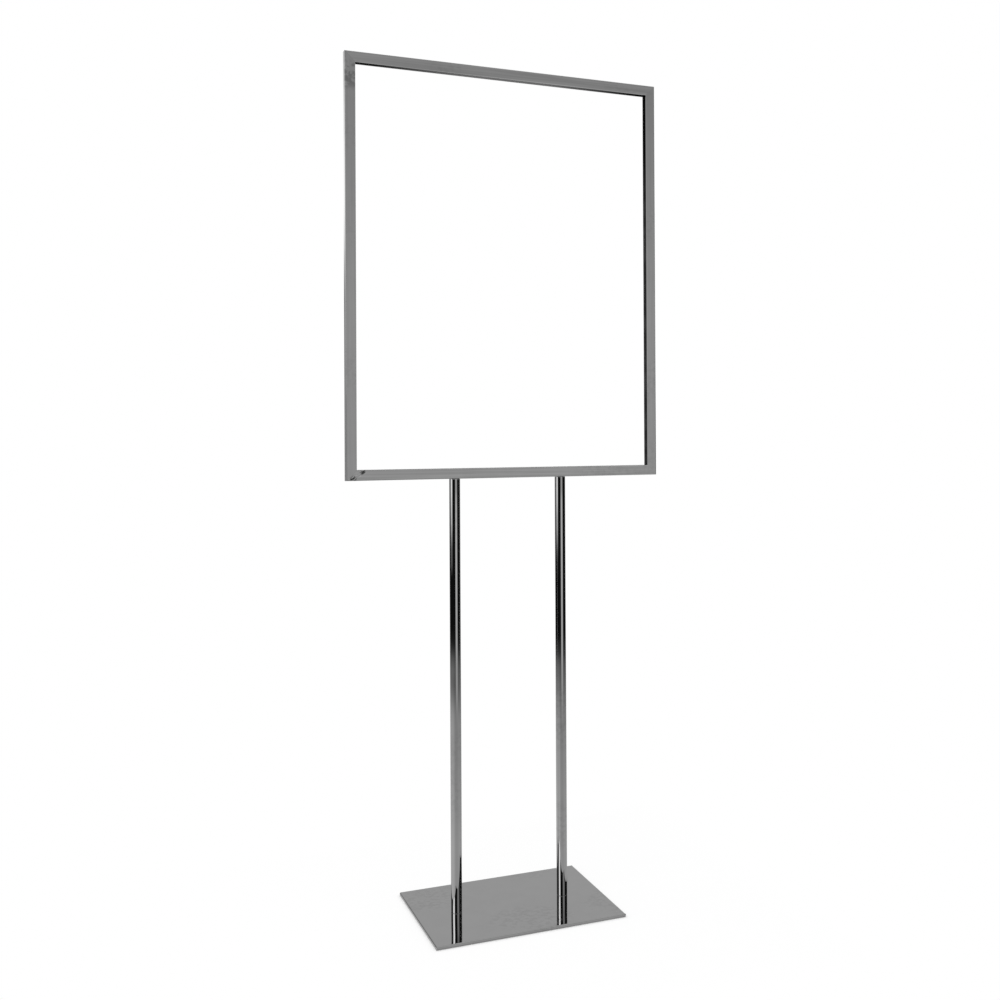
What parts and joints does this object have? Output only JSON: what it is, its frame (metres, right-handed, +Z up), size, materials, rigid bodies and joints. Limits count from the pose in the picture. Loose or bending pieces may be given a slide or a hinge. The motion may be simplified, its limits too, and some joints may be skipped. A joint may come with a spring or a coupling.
{
  "type": "floor-standing sign holder",
  "caption": "Floor-standing sign stand: a mitred channel frame for a slide-in card, on slim round uprights and a flat rectangular base plate.",
  "frame": {"origin": "on the floor, under the middle of the base plate", "axes": "+Z up, X along the frame's width and the base's long side, the frame and uprights stand in the plane Y = 0"},
  "size_m": [0.5778, 0.248, 1.4829],
  "materials": {
    "chrome_plate": "bright chrome plating over polished steel",
    "zinc_steel": "bright zinc plating over turned steel",
    "pad_rubber": "matt black rubber"
  },
  "bodies": {
    "stand": {"base_plate": "chrome_plate", "base_pads": "pad_rubber", "base_screws": "zinc_steel", "left_upright": "chrome_plate", "right_upright": "chrome_plate", "left_foot_plug": "zinc_steel", "right_foot_plug": "zinc_steel"},
    "frame": {"bottom_rail": "chrome_plate", "top_rail": "chrome_plate", "left_stile": "chrome_plate", "right_stile": "chrome_plate", "left_spigot": "zinc_steel", "right_spigot": "zinc_steel", "frame_screws": "zinc_steel", "frame_lock_washers": "zinc_steel"}
  },
  "joints": [
    {"name": "frame_lift", "type": "slide", "parent": "stand", "child": "frame", "axis": [0, 0, 1], "range_m": [0, 0.065]}
  ]
}
